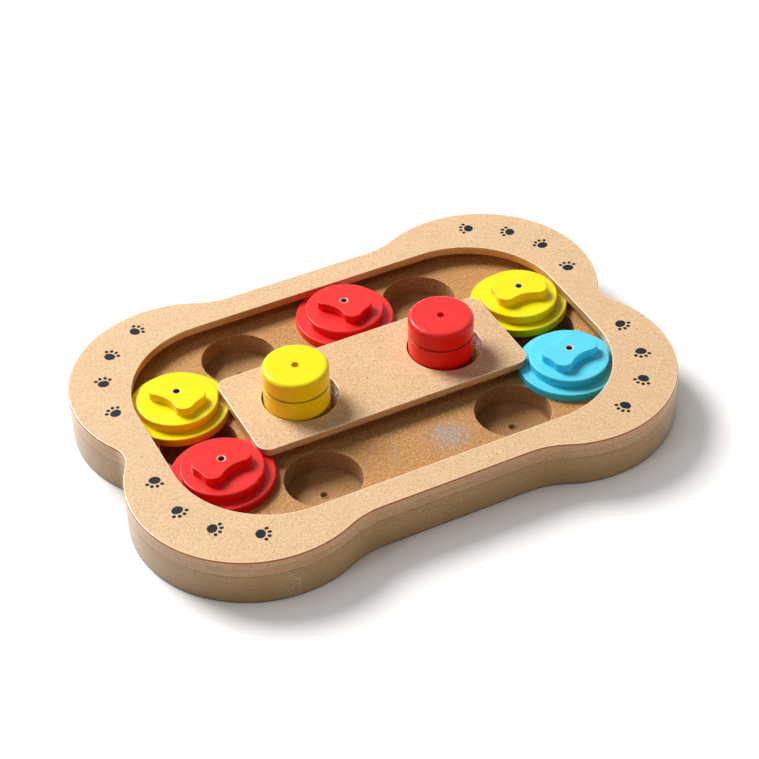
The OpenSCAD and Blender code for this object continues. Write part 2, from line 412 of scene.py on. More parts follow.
class EffectKit:
    """The shader node groups that the finishes share, each built once."""

    def __init__(self) -> None:
        """Builds every group."""
        self.flecks = self._flecks()
        self.layers = self._layers()
        self.specks = self._specks()
        self.edge_marks = self._edge_marks()

    @staticmethod
    def _group(name: str, takes: dict[str, object], gives: list[str]) \
            -> tuple[Wiring, dict, bpy.types.Node]:
        """Starts a group.

        Args:
            name: the group's name.
            takes: its inputs, with a default number, or None for a vector.
            gives: its outputs, which are all values.

        Returns:
            The wiring, the inputs' sockets by name, and the output node.
        """
        tree = bpy.data.node_groups.new(name, "ShaderNodeTree")
        for label, default in takes.items():
            kind = "NodeSocketVector" if default is None else "NodeSocketFloat"
            made = tree.interface.new_socket(label, in_out="INPUT", socket_type=kind)
            if default is not None:
                made.default_value = default
        for label in gives:
            tree.interface.new_socket(label, in_out="OUTPUT", socket_type="NodeSocketFloat")
        wiring = Wiring(tree)
        source = wiring.node("NodeGroupInput")
        return wiring, {label: source.outputs[label] for label in takes}, \
            wiring.node("NodeGroupOutput")

    def _flecks(self) -> bpy.types.NodeTree:
        """Pressed fibre: short pale and dark fibres lying every way, and a cloudy tone."""
        wiring, given, out = self._group(
            "fibre_flecks", {"Vector": None, "Scale": 1.0, "Amount": 0.5},
            ["Light", "Dark", "Tone", "Height"])
        scaled = wiring.node("ShaderNodeVectorMath", {0: given["Vector"], 3: given["Scale"]},
                             operation="SCALE").outputs[0]
        fine = wiring.noise(scaled, 2300.0, 2.0, 0.6)
        light: object = wiring.ramp(fine, 0.5, 0.74)
        dark: object = wiring.ramp(fine, 0.5, 0.26)
        for i, turn in enumerate((12, 74, 131)):
            fibres = wiring.stretched(scaled, (400 + 60 * i, 2200, 1500), turn)
            grain = wiring.noise(fibres, 1.0, 1.0, 0.5)
            light = wiring.math("MAXIMUM", light, wiring.ramp(grain, 0.6, 0.72))
            dark = wiring.math("MAXIMUM", dark, wiring.ramp(grain, 0.37, 0.26))
        wiring.feed(out.inputs["Light"], wiring.math("MULTIPLY", light, given["Amount"]))
        wiring.feed(out.inputs["Dark"], wiring.math("MULTIPLY", dark, given["Amount"]))
        wiring.feed(out.inputs["Tone"], wiring.noise(scaled, 60.0, 4.0, 0.65))
        wiring.feed(out.inputs["Height"], wiring.noise(scaled, 1700.0, 3.0, 0.6))
        return wiring.tree

    def _layers(self) -> bpy.types.NodeTree:
        """Cut edge of a pressed sheet: streaks along it, and fine fibre ends."""
        wiring, given, out = self._group("sheet_layers", {"Vector": None},
                                         ["Streak", "Grain", "Cloud"])
        streaks = wiring.stretched(given["Vector"], (38, 38, 1500))
        wiring.feed(out.inputs["Streak"], wiring.noise(streaks, 1.0, 3.0, 0.6))
        wiring.feed(out.inputs["Grain"], wiring.noise(given["Vector"], 1500.0, 3.0, 0.65))
        wiring.feed(out.inputs["Cloud"], wiring.noise(given["Vector"], 28.0, 3.0, 0.6))
        return wiring.tree

    def _specks(self) -> bpy.types.NodeTree:
        """Scattered small specks of uneven size, such as dust or rubbed-off paint."""
        wiring, given, out = self._group(
            "small_specks", {"Vector": None, "Scale": 300.0, "Size": 0.2}, ["Mask"])
        bent = wiring.node("ShaderNodeTexNoise", {"Vector": given["Vector"], "Scale": 700.0})
        shifted = wiring.node("ShaderNodeMix", {0: 0.0012, 4: given["Vector"],
                                                5: bent.outputs["Color"]},
                              data_type="VECTOR").outputs[1]
        cells = wiring.node("ShaderNodeTexVoronoi", {"Vector": shifted,
                                                     "Scale": given["Scale"]})
        pick = wiring.node("ShaderNodeSeparateColor", {0: cells.outputs["Color"]})
        size = wiring.math("MULTIPLY", given["Size"],
                           wiring.math("POWER", pick.outputs[0], 2.0))
        gap = wiring.math("SUBTRACT", size, cells.outputs["Distance"])
        wiring.feed(out.inputs["Mask"], wiring.ramp(gap, 0.0, 0.06))
        return wiring.tree

    def _edge_marks(self) -> bpy.types.NodeTree:
        """Edge mark broken up by noise: rubs, chips, fuzz, burns, painted highlight and shade."""
        wiring, given, out = self._group(
            "marked_edge", {"Vector": None, "Edge": 0.0, "Scale": 300.0, "Cover": 0.5}, ["Mask"])
        breakup = wiring.node("ShaderNodeTexNoise", {"Vector": given["Vector"],
                                                     "Scale": given["Scale"], "Detail": 3.0})
        reach = wiring.math("ADD", breakup.outputs[0],
                            wiring.math("SUBTRACT", given["Cover"], 0.5))
        level = wiring.math("MULTIPLY", reach, given["Edge"], clamp=True)
        wiring.feed(out.inputs["Mask"], wiring.ramp(level, 0.42, 0.58))
        return wiring.tree


class Surface:
    """A material in the making, with its own Principled shader."""

    def __init__(self, name: str, roughness: float, specular: float, coat: float = 0.0,
                 coat_roughness: float = 0.12, coat_ior: float = 1.5) -> None:
        """Starts a material.

        Args:
            name: the material's name.
            roughness: its plain roughness, which a link may replace.
            specular: its specular level.
            coat: how much clear coat lies on it.
            coat_roughness: how matt the coat is.
            coat_ior: how strongly the coat bends light; a low one shines only at a slant.
        """
        self.material = bpy.data.materials.new(name)
        self.wiring = emptied(self.material)
        self.shader = self.wiring.node("ShaderNodeBsdfPrincipled", {
            "Roughness": roughness, "Specular IOR Level": specular, "Coat Weight": coat,
            "Coat Roughness": coat_roughness, "Coat IOR": coat_ior})
        self.wiring.node("ShaderNodeOutputMaterial", {0: self.shader.outputs[0]})
        source = self.wiring.node("ShaderNodeTexCoord").outputs
        self.place, self.facing = source["Object"], source["Normal"]

    def mark(self, name: str) -> bpy.types.NodeSocket:
        """A mark that the mesh carries, such as edge or bare."""
        return self.wiring.node("ShaderNodeAttribute", attribute_name=name).outputs["Fac"]

    def raised(self) -> bpy.types.NodeSocket:
        """1 on the eased corners that stand out."""
        return self.wiring.math("MAXIMUM", self.mark("edge"), 0.0)

    def hollow(self, strength: float = 1.0) -> bpy.types.NodeSocket:
        """Up to 1 in the corners that lie in."""
        return self.wiring.math("MULTIPLY", self.mark("edge"), -strength, clamp=True)

    def effect(self, group: bpy.types.NodeTree, **inputs: object) -> bpy.types.Node:
        """A shared effect placed in this material with its own values."""
        node = self.wiring.node("ShaderNodeGroup", node_tree=group)
        for key, value in {"Vector": self.place, **inputs}.items():
            self.wiring.feed(node.inputs[key], value)
        return node

    def colour(self, value: object) -> None:
        """Feeds the shader's base colour."""
        self.wiring.feed(self.shader.inputs["Base Color"], value)

    def roughness(self, value: object) -> None:
        """Feeds the shader's roughness."""
        self.wiring.feed(self.shader.inputs["Roughness"], value)

    def bump(self, height: object, distance: float, strength: float) -> None:
        """Feeds the shader's normal from a height, whose full step is distance metres."""
        node = self.wiring.node("ShaderNodeBump", {"Height": height, "Distance": distance,
                                                   "Strength": strength})
        self.wiring.feed(self.shader.inputs["Normal"], node.outputs[0])


# Places of the marks, in millimetres, and the tones that they and the dust have
RUB_PATCH: Point = (16.5, -53.5)
RUB_RING: Point = (12.3, -53.1)
RUB_RING_R = 25.8
SCUFF_PATCH = (-94.0, -99.5, 10.0)
# Height in millimetres below which the base's side is painted darker towards its foot: painted
# shade.
FOOT_SHADE_TOP = 14.0
RUBBED_PAINT = shade(92, 184, 226)
SCUFF = shade(226, 212, 194)
DUST = shade(250, 244, 232)
RAW_FIBRE = shade(232, 214, 186)


@dataclass(frozen=True)
class PressedFace:
    """Smooth pressed face of fibreboard: fine fibres, a few dark specks, a cloudy tone."""
    name: str
    ground: Colour
    pale: Colour
    dark: Colour
    fleck: float
    rubbed: bool = False

    def material(self, kit: EffectKit) -> bpy.types.Material:
        """Builds the material from the shared effects."""
        surface = Surface(self.name, 0.6, 0.3, coat_roughness=0.2)
        wiring = surface.wiring
        fibre = surface.effect(kit.flecks, Scale=1.0, Amount=self.fleck)
        cloud = wiring.ramp(fibre.outputs["Tone"], 0.3, 0.7, 0.0, 0.4)
        tint = wiring.mix(cloud, self.ground, toned(self.ground, 0.87))
        tint = wiring.mix(fibre.outputs["Light"], tint, self.pale)
        tint = wiring.mix(fibre.outputs["Dark"], tint, self.dark)
        specks = surface.effect(kit.specks, Scale=230.0, Size=0.16)
        tint = wiring.mix(wiring.math("MULTIPLY", specks.outputs[0], 0.7), tint,
                          toned(self.dark, 0.35))
        if self.rubbed:
            tint = wiring.mix(self.rub_marks(surface), tint, RUBBED_PAINT)
        # The eased rim is mixed towards the pale colour: a painted highlight along the face's
        # edge.
        rim = surface.raised()
        tint = wiring.mix(wiring.math("MULTIPLY", rim, 0.6), tint, self.pale)
        wiring.feed(surface.shader.inputs["Coat Weight"], rim)
        surface.colour(tint)
        rough = wiring.ramp(fibre.outputs["Tone"], 0.3, 0.7, 0.5, 0.64)
        surface.roughness(wiring.math("SUBTRACT", rough, wiring.math("MULTIPLY", rim, 0.2)))
        surface.bump(fibre.outputs["Height"], 0.00004, 0.6)
        return surface.material

    @staticmethod
    def rub_marks(surface: Surface) -> bpy.types.NodeSocket:
        """Blue paint that a slider has left on the track: a speckled patch and a broken ring."""
        wiring = surface.wiring
        flat = wiring.vector("MULTIPLY", surface.place, (1, 1, 0))

        def away(middle: Point, stretch: float) -> bpy.types.NodeSocket:
            """Distance from a place on the track, in millimetres."""
            moved = wiring.vector("ADD", flat, (-middle[0] * MM, -middle[1] * MM, 0))
            sized = wiring.vector("MULTIPLY", moved, (1, stretch, 1))
            return wiring.math("MULTIPLY", wiring.length(sized), 1 / MM)
        near = wiring.ramp(away(RUB_PATCH, 1.15), 19.0, 3.0)
        dashes = wiring.noise(wiring.stretched(surface.place, (1150, 2100, 900), 35), 1.0, 1.0)
        level = wiring.math("MULTIPLY_ADD", near, 0.135, dashes)
        patch = wiring.math("MULTIPLY", wiring.ramp(level, 0.69, 0.74),
                            wiring.ramp(near, 0.02, 0.15))
        off_ring = wiring.math("ABSOLUTE", wiring.math("SUBTRACT", away(RUB_RING, 1.0),
                                                       RUB_RING_R))
        ring = wiring.ramp(off_ring, 0.4, 0.1)
        broken = wiring.ramp(wiring.noise(surface.place, 60.0, 4.0, 0.7), 0.47, 0.58)
        far_half = wiring.axis(surface.place, "Y")
        ring = wiring.math("MULTIPLY", wiring.math("MULTIPLY", ring, broken),
                           wiring.ramp(far_half, -0.059, -0.052))
        return wiring.math("MAXIMUM", patch, ring)


@dataclass(frozen=True)
class CutEdge:
    """Sawn or routed side of fibreboard: streaks, fibre ends and a burnt or painted-light corner.
    """
    name: str
    ground: Colour
    streak: Colour
    corner: Colour
    streaks: float
    cover: float
    scuffs: float = 0.0
    foot_shade: float = 0.0

    def material(self, kit: EffectKit) -> bpy.types.Material:
        """Builds the material from the shared effects."""
        surface = Surface(self.name, 0.5, 0.35, coat=1.0, coat_roughness=0.24, coat_ior=1.3)
        wiring = surface.wiring
        sheet = surface.effect(kit.layers)
        band = wiring.ramp(sheet.outputs["Streak"], 0.4, 0.68, 0.0, self.streaks)
        tint = wiring.mix(band, self.ground, self.streak)
        fine = wiring.ramp(sheet.outputs["Grain"], 0.5, 0.3, 0.0, 0.9)
        tint = wiring.mix(fine, tint, toned(self.ground, 0.5))
        glow = wiring.ramp(sheet.outputs["Grain"], 0.52, 0.74, 0.0, 0.75)
        tint = wiring.mix(glow, tint, toned(self.ground, 1.55))
        tone = wiring.ramp(sheet.outputs["Cloud"], 0.35, 0.7, 0.0, 0.3)
        tint = wiring.mix(tone, tint, toned(self.ground, 0.8))
        # The side is painted darker towards its foot: painted shade near the table.
        if self.foot_shade:
            above = wiring.axis(surface.place, "Z")
            tint = wiring.mix(wiring.ramp(above, FOOT_SHADE_TOP * MM, 0.0, 0.0, self.foot_shade), tint,
                              toned(self.ground, 0.35))
        # The eased corners take the corner colour: a burnt line on the sheets, a pale line
        # painted as a highlight on the lip, and a dark line painted as shade along the base's
        # foot.
        edge = surface.raised()
        rubbed = surface.effect(kit.edge_marks, Edge=edge, Scale=220.0, Cover=self.cover)
        tint = wiring.mix(rubbed.outputs[0], tint, self.corner)
        gaps = wiring.ramp(wiring.noise(surface.place, 110.0, 4.0, 0.75), 0.42, 0.6, 0.1, 0.9)
        tint = wiring.mix(wiring.math("MULTIPLY", surface.hollow(), gaps), tint,
                          toned(self.ground, 0.36))
        if self.scuffs:
            tint = wiring.mix(self.scuff_marks(surface), tint, SCUFF)
        surface.colour(tint)
        rough = wiring.ramp(sheet.outputs["Grain"], 0.3, 0.7, 0.36, 0.54)
        surface.roughness(wiring.math("MULTIPLY_ADD", edge, -0.14, rough))
        height = wiring.math("MULTIPLY_ADD", sheet.outputs["Streak"], 0.6,
                             sheet.outputs["Grain"])
        surface.bump(height, 0.00005, 0.6)
        return surface.material

    def scuff_marks(self, surface: Surface) -> bpy.types.NodeSocket:
        """Whitish scuffs: a few long ones anywhere and a fine patch beside the front lobe."""
        wiring = surface.wiring
        marks = wiring.noise(wiring.stretched(surface.place, (55, 55, 1100)), 1.0, 2.0)
        where = wiring.noise(surface.place, 16.0, 2.0)
        long = wiring.math("MULTIPLY", wiring.ramp(marks, 0.64, 0.7),
                           wiring.ramp(where, 0.5, 0.6, 0.0, 0.7))
        moved = wiring.vector("ADD", surface.place, tuple(-MM * part for part in SCUFF_PATCH))
        near = wiring.ramp(wiring.length(moved), 0.019, 0.003)
        fine = wiring.noise(wiring.stretched(surface.place, (2300, 2300, 1200)), 1.0, 2.0)
        patch = wiring.ramp(wiring.math("MULTIPLY_ADD", near, 0.13, fine), 0.66, 0.78)
        both = wiring.math("MAXIMUM", long, wiring.math("MULTIPLY", patch, near))
        return wiring.math("MULTIPLY", both, self.scuffs)


@dataclass(frozen=True)
class BoredWell:
    """Inside of a treat well: torn fibres on the wall, tool rings on the floor, a fuzzy rim."""
    name: str
    ground: Colour
    wall: Colour
    rim: Colour
    torn: float
    deep: float = 0.4

    def material(self, kit: EffectKit) -> bpy.types.Material:
        """Builds the material from the shared effects."""
        surface = Surface(self.name, 0.75, 0.25)
        wiring = surface.wiring
        sheet = surface.effect(kit.layers)
        fibre = surface.effect(kit.flecks, Scale=0.8, Amount=0.75)
        upward = wiring.axis(surface.facing, "Z")
        # Walls take the darker wall colour and the floor the ground colour, by which way they
        # face: painted shade.
        tint = wiring.mix(wiring.ramp(upward, 0.2, 0.8), self.wall, self.ground)
        tint = wiring.mix(wiring.ramp(sheet.outputs["Grain"], 0.38, 0.7, 0.0, 0.6), tint,
                          toned(self.wall, 0.5))
        tint = wiring.mix(wiring.math("MULTIPLY", fibre.outputs["Light"], 0.6), tint,
                          toned(self.ground, 1.25))
        torn = wiring.noise(wiring.stretched(surface.place, (1200, 1200, 700)), 1.0, 3.0, 0.7)
        rough_part = wiring.ramp(upward, 0.2, 0.8, self.torn, 0.22 * self.torn)
        pale_tufts = wiring.math("MULTIPLY", wiring.ramp(torn, 0.51, 0.6), rough_part)
        tint = wiring.mix(pale_tufts, tint, self.rim)
        dark_gaps = wiring.math("MULTIPLY", wiring.ramp(torn, 0.46, 0.38), rough_part)
        tint = wiring.mix(dark_gaps, tint, toned(self.ground, self.deep))
        tint = wiring.mix(wiring.math("MULTIPLY", fibre.outputs["Dark"], 0.7), tint,
                          toned(self.ground, 0.5))
        ring = wiring.math("SINE", wiring.math("MULTIPLY", surface.mark("depth"), 7.0))
        ring = wiring.ramp(ring, 0.2, 1.0, 0.0, 0.18)
        tint = wiring.mix(ring, tint, toned(self.ground, 0.6))
        fuzz = surface.effect(kit.edge_marks, Edge=surface.raised(), Scale=420.0, Cover=0.5)
        tint = wiring.mix(wiring.math("MULTIPLY", fuzz.outputs[0], 0.55), tint, self.rim)
        # The hollow corner at the wall's foot is darkened: painted shade.
        tint = wiring.mix(wiring.math("MULTIPLY", surface.hollow(), 0.45), tint,
                          toned(self.ground, 0.35))
        # The ring round the pit is painted pale as a highlight, and the pit painted dark as
        # shade.
        pit_shade_and_highlight = surface.mark("bare")
        tint = wiring.mix(wiring.ramp(pit_shade_and_highlight, 0.3, 0.9, 0.0, 0.12), tint, self.rim)
        tint = wiring.mix(wiring.ramp(pit_shade_and_highlight, 1.2, 1.8, 0.0, 0.5), tint,
                          toned(self.wall, 0.4))
        surface.colour(tint)
        height = wiring.math("MULTIPLY_ADD", ring, 2.0, wiring.math(
            "MULTIPLY_ADD", torn, 1.2, fibre.outputs["Height"]))
        surface.bump(height, 0.00008 + 0.00013 * self.torn, 0.8)
        return surface.material


@dataclass(frozen=True)
class Paint:
    """Semi-gloss paint on fibreboard: orange peel, paler rubbed edges, nicks and dust.

    Faces that turn away from up take a deeper colour than the upward ones: painted shade.
    """
    name: str
    ground: Colour
    side: Colour
    thin: Colour
    wood: Colour = (0.4, 0.23, 0.11)

    def material(self, kit: EffectKit) -> bpy.types.Material:
        """Builds the material from the shared effects."""
        surface = Surface(self.name, 0.3, 0.22, coat=0.1)
        wiring = surface.wiring
        tone = wiring.noise(surface.place, 90.0, 3.0)
        # Faces turned away from up are mixed towards the deeper side colour: painted shade.
        upward = wiring.axis(surface.facing, "Z")
        flat = wiring.ramp(upward, 0.5, 0.97)
        coat = wiring.mix(flat, self.side, self.ground)
        deeper = wiring.mix(flat, toned(self.side, 0.8), toned(self.ground, 0.8))
        tint = wiring.mix(wiring.ramp(tone, 0.35, 0.68, 0.0, 0.2), coat, deeper)
        # Hollow corners, such as the peg's groove and the foot of its hole, are darkened: painted
        # shade.
        tint = wiring.mix(surface.hollow(0.75), tint, toned(self.side, 0.4))
        edge = surface.raised()
        rubbed = surface.effect(kit.edge_marks, Edge=edge, Scale=340.0, Cover=0.36)
        tint = wiring.mix(wiring.math("MULTIPLY", rubbed.outputs[0], 0.35), tint, self.thin)
        nicks = surface.effect(kit.edge_marks, Edge=edge, Scale=700.0, Cover=0.17)
        dust = surface.effect(kit.specks, Scale=230.0, Size=0.1)
        white = wiring.math("MAXIMUM", nicks.outputs[0],
                            wiring.math("MULTIPLY", dust.outputs[0], 0.8))
        tint = wiring.mix(wiring.math("MULTIPLY", white, 0.7), tint, DUST)
        bare = surface.mark("bare")
        ragged = wiring.math("ADD", bare, wiring.math(
            "MULTIPLY", wiring.math("SUBTRACT", wiring.noise(surface.place, 1300.0), 0.5), 1.6))
        tint = wiring.mix(wiring.ramp(ragged, 0.55, 0.75), tint, RAW_FIBRE)
        tint = wiring.mix(wiring.ramp(bare, 1.15, 1.5), tint, self.wood)
        surface.colour(tint)
        rough = wiring.ramp(tone, 0.3, 0.7, 0.24, 0.36)
        surface.roughness(wiring.math("MAXIMUM", rough, wiring.math("MULTIPLY", bare, 0.45)))
        peel = wiring.noise(surface.place, 620.0, 2.0)
        fine = wiring.noise(surface.place, 2300.0, 2.0)
        surface.bump(wiring.math("MULTIPLY_ADD", fine, 0.25, peel), 0.00005, 0.55)
        return surface.material


@dataclass(frozen=True)
class StampedInk:
    """Blue-black ink of the paw prints, thin where the stamp pressed lightly."""
    name: str
    ink: Colour
    under: Colour

    def material(self, kit: EffectKit) -> bpy.types.Material:
        """Builds the material from the shared effects."""
        surface = Surface(self.name, 0.6, 0.12)
        wiring = surface.wiring
        fibre = surface.effect(kit.flecks, Scale=1.1, Amount=0.8)
        faded = wiring.math("ADD", surface.mark("fade"),
                            wiring.math("MULTIPLY", wiring.math(
                                "SUBTRACT", wiring.noise(surface.place, 1100.0), 0.5), 1.3))
        tint = wiring.mix(wiring.math("MULTIPLY", fibre.outputs["Light"], 0.3), self.ink,
                          toned(self.ink, 2.0))
        tint = wiring.mix(wiring.ramp(faded, 0.5, 0.75), tint, self.under)
        surface.colour(tint)
        surface.roughness(wiring.ramp(fibre.outputs["Tone"], 0.3, 0.7, 0.45, 0.65))
        surface.bump(fibre.outputs["Height"], 0.00003, 0.5)
        return surface.material


class Tone(Enum):
    """The paints: the face colour, the side colour painted deeper as shade, and thin paint."""
    YELLOW = (shade(252, 237, 6), shade(255, 206, 0), shade(255, 250, 150))
    RED = (shade(242, 48, 46), shade(238, 12, 4), shade(250, 130, 120))
    BLUE = (shade(98, 222, 248), shade(54, 212, 252), shade(170, 235, 250))

    @property
    def word(self) -> str:
        """The paint's name in small letters."""
        return self.name.lower()


class Finishes:
    """Every finish of the object, each made once."""

    def __init__(self) -> None:
        """Builds the shared effects and then the materials."""
        kit = EffectKit()
        self.top = PressedFace("cover_face", shade(232, 192, 146), shade(255, 228, 192),
                               shade(176, 124, 76), 0.6).material(kit)
        self.plate = PressedFace("plate_face", shade(228, 187, 139), shade(255, 230, 194),
                                 shade(168, 118, 74), 0.7).material(kit)
        self.track = PressedFace("track_face", shade(194, 138, 76), shade(238, 192, 136),
                                 shade(112, 66, 26), 0.8, True).material(kit)
        self.band = CutEdge("sheet_edge", shade(212, 162, 112), shade(232, 192, 148),
                            shade(190, 99, 6), 0.65, 0.95).material(kit)
        self.core = CutEdge("spacer_edge", shade(203, 154, 106), shade(222, 183, 140),
                            shade(190, 99, 6), 0.65, 0.3).material(kit)
        # The lip's pale corner colour is a painted highlight along its eased edges.
        self.lip = CutEdge("routed_lip", shade(204, 152, 98), shade(226, 182, 130),
                           shade(244, 212, 172), 0.4, 0.6).material(kit)
        # The base's dark corner colour is painted shade along its foot, where it meets the table.
        self.side = CutEdge("base_edge", shade(187, 147, 96), shade(159, 122, 78),
                            shade(80, 46, 28), 0.4, 0.95, 0.6, 0.3).material(kit)
        # Its wall colour is darker than its floor's: painted shade.
        self.well = BoredWell("bored_well", shade(216, 165, 111), shade(160, 119, 78),
                              shade(252, 232, 204), 0.14).material(kit)
        self.hole = BoredWell("peg_hole", shade(176, 140, 104), shade(176, 140, 104),
                              shade(255, 246, 232), 0.95, 0.12).material(kit)
        self.ink = StampedInk("paw_ink", shade(28, 33, 38),
                              shade(231, 192, 146)).material(kit)
        self.paints = {tone: Paint(f"{tone.word}_paint", *tone.value).material(kit)
                       for tone in Tone}


# ---------------------------------------------------------------------------------------------
# Geometry Nodes


class GeometryTree:
    """A Geometry Nodes tree that is baked into a plain mesh."""

    def __init__(self, name: str, takes: dict[str, str]) -> None:
        """Starts the tree.

        Args:
            name: the tree's name.
            takes: its inputs beside the geometry, with each one's socket type.
        """
        self.tree = bpy.data.node_groups.new(name, "GeometryNodeTree")
        self.tree.interface.new_socket("Geometry", in_out="INPUT",
                                       socket_type="NodeSocketGeometry")
        self.sockets = {label: self.tree.interface.new_socket(
            label, in_out="INPUT", socket_type=kind).identifier
            for label, kind in takes.items()}
        self.tree.interface.new_socket("Geometry", in_out="OUTPUT",
                                       socket_type="NodeSocketGeometry")
        self.wiring = Wiring(self.tree)
        self.given = self.wiring.node("NodeGroupInput").outputs
        self.out = self.wiring.node("NodeGroupOutput")

    def mark(self, name: str) -> bpy.types.NodeSocket:
        """Reads a float mark of the geometry."""
        return self.wiring.node("GeometryNodeInputNamedAttribute", {"Name": name},
                                data_type="FLOAT").outputs[0]

    def close(self, geometry: bpy.types.NodeSocket) -> None:
        """Ends the tree in Realize Instances and Set Material."""
        real = self.wiring.node("GeometryNodeRealizeInstances", {0: geometry}).outputs[0]
        done = self.wiring.node("GeometryNodeSetMaterial",
                                {0: real, "Material": self.given["Finish"]}).outputs[0]
        self.wiring.feed(self.out.inputs[0], done)

    def bake(self, source: bpy.types.Mesh, name: str, inputs: dict[str, object],
             smooth: bool = True) -> bpy.types.Object:
        """Runs the tree on a mesh and keeps the result as a plain piece.

        Args:
            source: the mesh that the tree starts from.
            name: the piece's name.
            inputs: the tree's inputs by name.
            smooth: False for a film of ink, which stays flat.

        Returns:
            The piece, at the origin, with no modifier.
        """
        carrier = added(f"{name}_carrier", source)
        modifier = carrier.modifiers.new("shape", "NODES")
        modifier.node_group = self.tree
        for label, value in inputs.items():
            modifier[self.sockets[label]] = value
        carrier.update_tag()
        ready = carrier.evaluated_get(bpy.context.evaluated_depsgraph_get())
        mesh = bpy.data.meshes.new_from_object(ready)
        mesh.name = name
        bpy.data.objects.remove(carrier)
        bm = bmesh.new()
        bm.from_mesh(mesh)
        tidy_mesh(bm, smooth)
        bm.to_mesh(mesh)
        bm.free()
        return added(name, mesh)


class Lathe(GeometryTree):
    """Turns a half section about an upright axis, as a wood turner does."""

    def __init__(self) -> None:
        """Builds the tree: a grid whose one side is the section and the other the turn."""
        super().__init__("turned_piece", {"Centre": "NodeSocketVector",
                                          "Segments": "NodeSocketInt",
                                          "Finish": "NodeSocketMaterial"})
        wiring, given = self.wiring, self.given
        stops = wiring.node("GeometryNodeAttributeDomainSize",
                            {0: given["Geometry"]}).outputs["Point Count"]
        rows = wiring.math("ADD", given["Segments"], 1.0)
        grid = wiring.node("GeometryNodeMeshGrid", {"Vertices X": stops,
                                                    "Vertices Y": rows}).outputs["Mesh"]
        index = wiring.node("GeometryNodeInputIndex").outputs[0]
        stop = wiring.math("FLOOR", wiring.math("DIVIDE", wiring.math("ADD", index, 0.5), rows))
        row = wiring.math("SUBTRACT", index, wiring.math("MULTIPLY", stop, rows))

        def sample(value: object, kind: str) -> bpy.types.NodeSocket:
            """A value of the section, read for this corner of the grid."""
            node = wiring.node("GeometryNodeSampleIndex", data_type=kind, domain="POINT")
            wiring.feed(node.inputs[0], given["Geometry"])
            wiring.feed([s for s in node.inputs if s.name == "Value" and s.enabled][0], value)
            wiring.feed(node.inputs["Index"], stop)
            return [s for s in node.outputs if s.enabled][0]
        spot = wiring.node("ShaderNodeSeparateXYZ", {0: sample(
            wiring.node("GeometryNodeInputPosition").outputs[0], "FLOAT_VECTOR")})
        turn = wiring.math("MULTIPLY", wiring.math("DIVIDE", row, given["Segments"]),
                           2 * math.pi)
        x = wiring.math("MULTIPLY", spot.outputs["X"], wiring.math("COSINE", turn))
        y = wiring.math("MULTIPLY", spot.outputs["X"], wiring.math("SINE", turn))
        around = wiring.node("ShaderNodeCombineXYZ", {0: x, 1: y, 2: spot.outputs["Z"]})
        place = wiring.vector("ADD", around.outputs[0], given["Centre"])
        geometry = wiring.node("GeometryNodeSetPosition", {0: grid, "Position": place}).outputs[0]
        for mark in ("edge", "bare"):
            geometry = wiring.node("GeometryNodeStoreNamedAttribute",
                                   {0: geometry, "Name": mark,
                                    "Value": sample(self.mark(mark), "FLOAT")},
                                   data_type="FLOAT", domain="POINT").outputs[0]
        self.close(wiring.node("GeometryNodeMergeByDistance",
                               {0: geometry, "Distance": 1e-6}).outputs[0])

    def turn(self, name: str, section: list[Stop], centre: Point, finish: bpy.types.Material,
             segments: int = 96) -> bpy.types.Object:
        """Turns one piece.

        Args:
            name: the piece's name.
            section: its half section, in millimetres.
            centre: where its axis stands.
            finish: its material.
            segments: how many facets go round it.

        Returns:
            The piece.
        """
        mesh = bpy.data.meshes.new(f"{name}_section")
        mesh.from_pydata([(stop.out * MM, 0, stop.z * MM) for stop in section], [], [])
        for mark in ("edge", "bare"):
            values = mesh.attributes.new(mark, "FLOAT", "POINT").data
            for value, stop in zip(values, section):
                value.value = getattr(stop, mark)
        return self.bake(mesh, name, {"Centre": (centre[0] * MM, centre[1] * MM, 0.0),
                                      "Segments": segments, "Finish": finish})


class Stamp(GeometryTree):
    """Sets one print down at every point, each turned and faded as the point says."""

    def __init__(self) -> None:
        """Builds the tree: instances of a print on the points."""
        super().__init__("stamped_prints", {"Print": "NodeSocketObject",
                                            "Size": "NodeSocketFloat",
                                            "Finish": "NodeSocketMaterial"})
        wiring, given = self.wiring, self.given
        shape = wiring.node("GeometryNodeObjectInfo", {"Object": given["Print"]}) \
            .outputs["Geometry"]
        turned = wiring.node("ShaderNodeCombineXYZ", {2: self.mark("turn")}).outputs[0]
        placed = wiring.node("GeometryNodeInstanceOnPoints", {
            "Points": given["Geometry"], "Instance": shape, "Rotation": turned,
            "Scale": given["Size"]}).outputs[0]
        self.close(placed)


# ---------------------------------------------------------------------------------------------
# The board


@dataclass(frozen=True)
class Levels:
    """Heights of the layers above the table."""
    track: float = 18.0
    cover: float = 23.0
    top: float = 27.5
    well_floor: float = 6.5


LEVELS = Levels()


